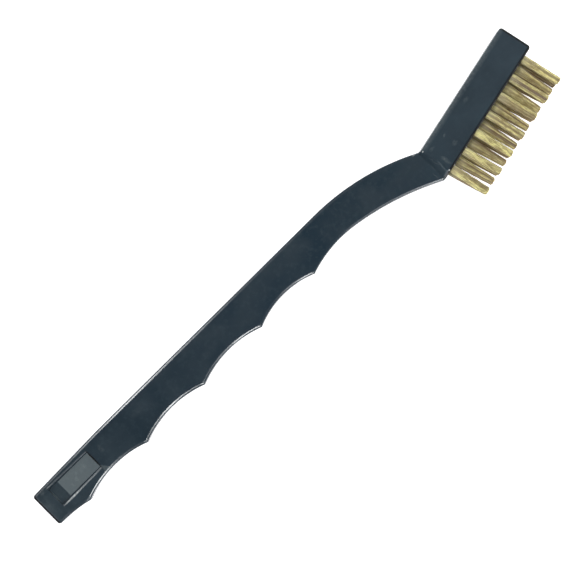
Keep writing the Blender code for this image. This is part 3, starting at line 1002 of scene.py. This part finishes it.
def makeTuft(number, place, headFrame, straightWire, row, lean, finish):
    draws = random.Random(number)
    bm = bmesh.new()
    # Each vertex keeps its wire's tone, which carries the painted shade of its row
    toneAndShadeLayer = bm.verts.layers.float.new("wireToneAndShade")
    reachLayer = bm.verts.layers.float.new("wireReach")
    clumps = {}
    for spot in bundleSpots(draws):
        wire = drawWire(draws, clumps, spot, row, lean)
        count = len(bm.verts)
        bm.from_mesh(straightWire)
        bm.verts.ensure_lookup_table()
        for vert in bm.verts[count:]:
            height = ringHeight(round(vert.co.z * tuft["segments"]), wire["length"])
            out = max(height, 0) / wire["length"]
            sway = swayAt(wire, height, out)
            vert.co.x = vert.co.x * tuft["wireRadius"] + spot.x + sway.x
            vert.co.y = vert.co.y * tuft["wireRadius"] + spot.y + sway.y
            vert.co.z = height
            vert[toneAndShadeLayer] = wire["tone"]
            vert[reachLayer] = out
    bm.transform(headFrame @ holeMatrix(*place))
    made = newObject(f"brass_tuft_{number:02d}", bm, finish)
    smoothTo(made.data, tuft["smoothAngle"])
    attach(made, "root")
    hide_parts(f"tuft_{number:02d}")


brass = {
    "tones": (
        (0.15, (0.23, 0.17, 0.13, 1)),
        (0.5, (0.74, 0.66, 0.31, 1)),
        (0.8, (1, 0.96, 0.46, 1)),
    ),
    "stain": {"scale": 1500, "detail": 4, "roughness": 0.65},
    "stainStretch": 3.5,  # the stains run along the wires
    "stainSpan": (0.42, 0.62, (0, 0.75)),
    "stainTone": (0.3, 0.21, 0.1, 1),
    "rootLightSpan": (0.35, 0.0, (0, 0.3)),  # painted light: paler towards the face, where the roots lie in shade
    "rootLightTone": (1, 0.96, 0.66, 1),
    "metallic": 0.35,
    "roughnessSpan": (0.3, 0.7, (0.34, 0.5)),
    "drawn": {"scale": 9000, "detail": 1},
    "drawnBump": {"strength": 0.15, "distance": 0.01 * mm},
}


def brassFinish():
    look = NodeSketch("drawn_brass")
    # The tone of each wire carries the painted shade of its row
    tone = look.add("Attribute", attribute_name="wireToneAndShade").outputs["Fac"]
    reach = look.add("Attribute", attribute_name="wireReach").outputs["Fac"]
    spot = look.place()
    stretch = (1, brass["stainStretch"], 1)
    alongWires = look.seenFrom(spot, turn=(0, 0, head["tilt"]), size=stretch)
    stain = look.noise(alongWires, **brass["stain"])
    colour = look.ramp(tone, brass["tones"])
    colour = look.blend(look.span(stain, *brass["stainSpan"]), colour, brass["stainTone"])
    # Painted light: paler towards the face, where the roots lie in shade
    colour = look.blend(look.span(reach, *brass["rootLightSpan"]), colour, brass["rootLightTone"])
    look.feed("Base Color", colour)
    look.feed("Metallic", brass["metallic"])
    look.feed("Roughness", look.span(stain, *brass["roughnessSpan"]))
    look.feed("Normal", look.bump(look.noise(spot, **brass["drawn"]), **brass["drawnBump"]))
    return look.material


anchor = {
    "rolled": {"scale": 900, "detail": 3},
    "rolledStretch": (1, 20, 1),
    "toneSpan": (0.35, 0.65),
    "tones": ((0.4, 0.37, 0.31, 1), (0.55, 0.52, 0.46, 1)),
    "metallic": 1.0,
    "roughnessSpan": (0.3, 0.7, (0.3, 0.45)),
    "bump": {"strength": 0.2, "distance": 0.01 * mm},
}


def anchorFinish():
    look = NodeSketch("flat_anchor_wire")
    rolled = look.noise(look.place(scale=anchor["rolledStretch"]), **anchor["rolled"])
    look.feed("Base Color", look.blend(look.span(rolled, *anchor["toneSpan"]), *anchor["tones"]))
    look.feed("Metallic", anchor["metallic"])
    look.feed("Roughness", look.span(rolled, *anchor["roughnessSpan"]))
    look.feed("Normal", look.bump(rolled, **anchor["bump"]))
    return look.material


places = tuftPlaces()
headFrame = makeHandle(places)

print("tufts:", len(places))
straightWire = wireMesh()
brassLook = brassFinish()
leanDraws = random.Random(tuft["leanSeed"])
rowDepths = sorted({across for along, across in places}, reverse=True)
rowLeans = [iter(leans) for leans in tuft["leans"]]
for number, place in enumerate(places, start=1):
    row = rowDepths.index(place[1])
    lean = Vector((next(rowLeans[row]) * mm, tuft["lean"] * leanDraws.uniform(-1, 1)))
    makeTuft(number, place, headFrame, straightWire, row, lean, brassLook)

print("anchors")
anchorLook = anchorFinish()
for name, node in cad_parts.items():
    if name.startswith("anchor"):
        node.data.materials.clear()
        node.data.materials.append(anchorLook)

# The stage, the lights and the camera

studio = {
    "axis": Vector((89.76, -10.31)) * mm,  # the point of the side view under the camera
    "height": 490 * mm,
    "roll": math.radians(44.7),
    "frameWidth": 159.8 * mm,  # what the picture spans at the seam of the handle
    "sensorWidth": 36,
    "floorSize": 6.0,
    "floorGlow": 0.92,
    "floorTones": ((0.9, 0.9, 0.9, 1), (0.93, 0.93, 0.93, 1)),
    "floorFleck": {"scale": 40, "detail": 4},
    "floorFleckSpan": (0.3, 0.7),
    "floorRoughness": 0.9,
}
# Brightness of the surroundings from -X to +X, as positions and grey levels
skyLevels = (
    (0, 0.03),
    (0.07, 0.3),
    (0.25, 0.3),
    (0.45, 0.1),
    (0.57, 0.25),
    (0.66, 0.4),
    (0.93, 0.4),
    (1, 0.03),
)
softboxes = {
    "main_light": {
        "place": (0.2, 0.15, 1.07),
        "target": (0, 0, 0),
        "size": (0.6, 0.6),
        "radiance": 4,
        "gleams": False,
    },
    "fill_light": {
        "place": (0.1, -0.6, 0.9),
        "target": (0, 0, 0),
        "size": (0.6, 0.6),
        "radiance": 1.8,
        "gleams": False,
    },
    "ramp_light": {
        "place": (-0.37, 0.02, 0.9),
        "target": (-0.08, 0.01, 0),
        "size": (0.16, 0.16),
        "radiance": 2.9,
        "colour": (0.88, 1, 1),
    },
}
# Strips of light across the brush: an angle down from overhead, and X, width, distance and radiance
gleamStrips = {
    "spine_gleam": (math.radians(38), (
        (-0.05, 0.34, 0.63, 0.8),
        (-0.13, 0.19, 0.6, 1.8),
        (-0.102, 0.105, 0.57, 4.5),
        (-0.112, 0.034, 0.54, 15),
    )),
    "grip_gleam": (math.radians(-39), (
        (-0.086, 0.2, 0.46, 1.8),
        (-0.071, 0.13, 0.44, 2.5),
        (-0.089, 0.037, 0.42, 24),
    )),
}


def makeFloor():
    bm = bmesh.new()
    bmesh.ops.create_grid(bm, x_segments=2, y_segments=2, size=studio["floorSize"] / 2)
    look = NodeSketch("pale_paper")
    fleck = look.span(look.noise(look.place(), **studio["floorFleck"]), *studio["floorFleckSpan"])
    look.feed("Base Color", look.blend(fleck, *studio["floorTones"]))
    look.feed("Roughness", studio["floorRoughness"])
    look.feed("Emission Color", (1, 1, 1, 1))
    look.feed("Emission Strength", studio["floorGlow"])
    floor = newObject("floor", bm, look.material)


# An area light that faces its target. It can light only matt surfaces or show only as a gleam.
def addSoftbox(name, place, target, size, radiance, colour=(1, 1, 1), fills=True, gleams=True):
    lamp = bpy.data.lights.new(name, "AREA")
    lamp.shape = "RECTANGLE"
    lamp.size, lamp.size_y = size
    lamp.energy = radiance * math.pi * lamp.size * lamp.size_y
    lamp.color = colour
    light = bpy.data.objects.new(name, lamp)
    bpy.context.scene.collection.objects.link(light)
    light.location = place
    light.rotation_mode = "QUATERNION"
    light.rotation_quaternion = (Vector(target) - Vector(place)).to_track_quat("-Z", "Y")
    light.visible_camera = False
    light.visible_diffuse = fills
    light.visible_glossy = gleams


def addGleam(name, fall, x, width, distance, radiance):
    place = (x, distance * math.sin(fall), distance * math.cos(fall))
    addSoftbox(name, place, (x, 0, 0), (width, distance), radiance, fills=False)


def makeWorld():
    world = bpy.data.worlds.new("studio")
    bpy.context.scene.world = world
    world.use_nodes = True
    nodes = world.node_tree.nodes
    links = world.node_tree.links
    sky = nodes["Background"]
    spot = nodes.new("ShaderNodeTexCoord")
    split = nodes.new("ShaderNodeSeparateXYZ")
    spread = nodes.new("ShaderNodeMapRange")
    ramp = nodes.new("ShaderNodeValToRGB")
    links.new(spot.outputs["Generated"], split.inputs[0])
    links.new(split.outputs["X"], spread.inputs["Value"])
    spread.inputs["From Min"].default_value = -1
    links.new(spread.outputs[0], ramp.inputs[0])
    greys = [(position, (level, level, level, 1)) for position, level in skyLevels]
    setStops(ramp.color_ramp, greys)
    links.new(ramp.outputs[0], sky.inputs[0])


def makeCamera(shift):
    lens = bpy.data.cameras.new("camera")
    camera = bpy.data.objects.new("camera", lens)
    bpy.context.scene.collection.objects.link(camera)
    roll = studio["roll"]
    right = Vector((math.cos(roll), -math.sin(roll), 0))
    up = Vector((math.sin(roll), math.cos(roll), 0))
    turn = Matrix((right, up, (0, 0, 1))).transposed()
    seamHeight = (cadLow.z + cadHigh.z) / 2
    place = Vector((*studio["axis"], 0)) + shift
    place.z = studio["height"]
    camera.matrix_world = Matrix.Translation(place) @ turn.to_4x4()
    lens.sensor_width = studio["sensorWidth"]
    lens.lens = lens.sensor_width * (studio["height"] - seamHeight) / studio["frameWidth"]
    bpy.context.scene.camera = camera


print("stage, lights and camera")
makeFloor()
makeWorld()
for name, settings in softboxes.items():
    addSoftbox(name, **settings)
for name, (fall, strips) in gleamStrips.items():
    for strip in strips:
        addGleam(name, fall, *strip)
bpy.context.scene.view_settings.view_transform = "Standard"
makeCamera(headFrame.translation - Vector((*notch, 0)))

bpy.context.view_layer.update()
